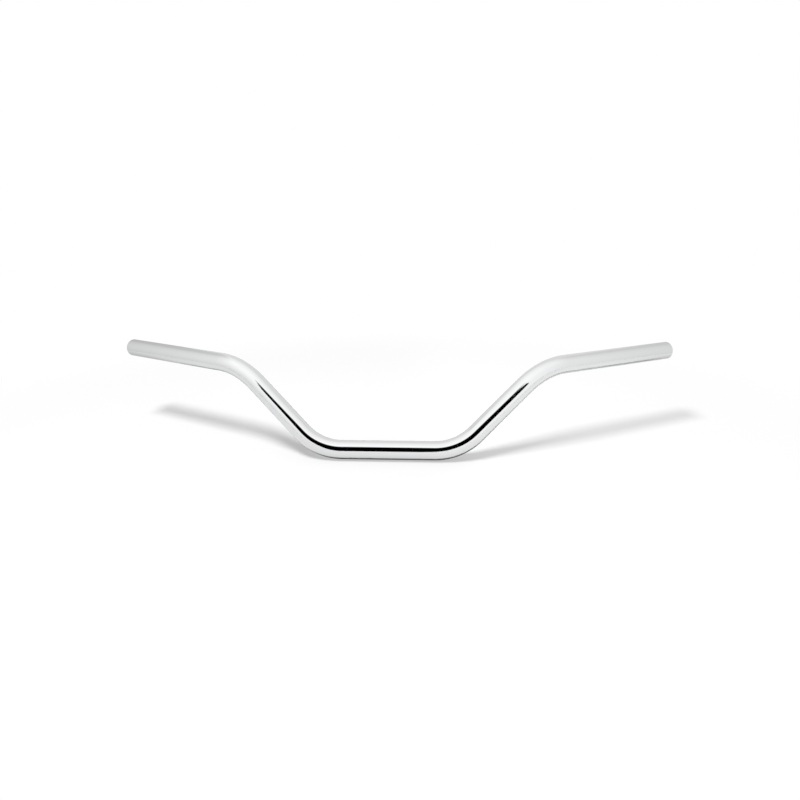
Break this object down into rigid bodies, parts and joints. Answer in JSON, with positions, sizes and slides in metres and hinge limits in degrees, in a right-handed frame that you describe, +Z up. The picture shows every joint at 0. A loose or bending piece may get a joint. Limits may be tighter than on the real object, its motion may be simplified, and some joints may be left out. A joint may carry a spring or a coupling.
{
  "type": "motorcycle handlebar",
  "caption": "Chrome-plated bent steel tube with a straight clamp section, rising legs and level, swept-back open ends; steers a motorcycle and carries its grips and controls.",
  "frame": {"origin": "middle of the clamp section, on the tube's axis", "axes": "+X along the clamp section to the rider's left, +Y back to the rider, +Z up"},
  "size_m": [0.7226, 0.1585, 0.1105],
  "materials": {
    "chrome_plate": "polished chrome plate"
  },
  "bodies": {
    "root": {"handlebar": "chrome_plate"}
  },
  "joints": []
}
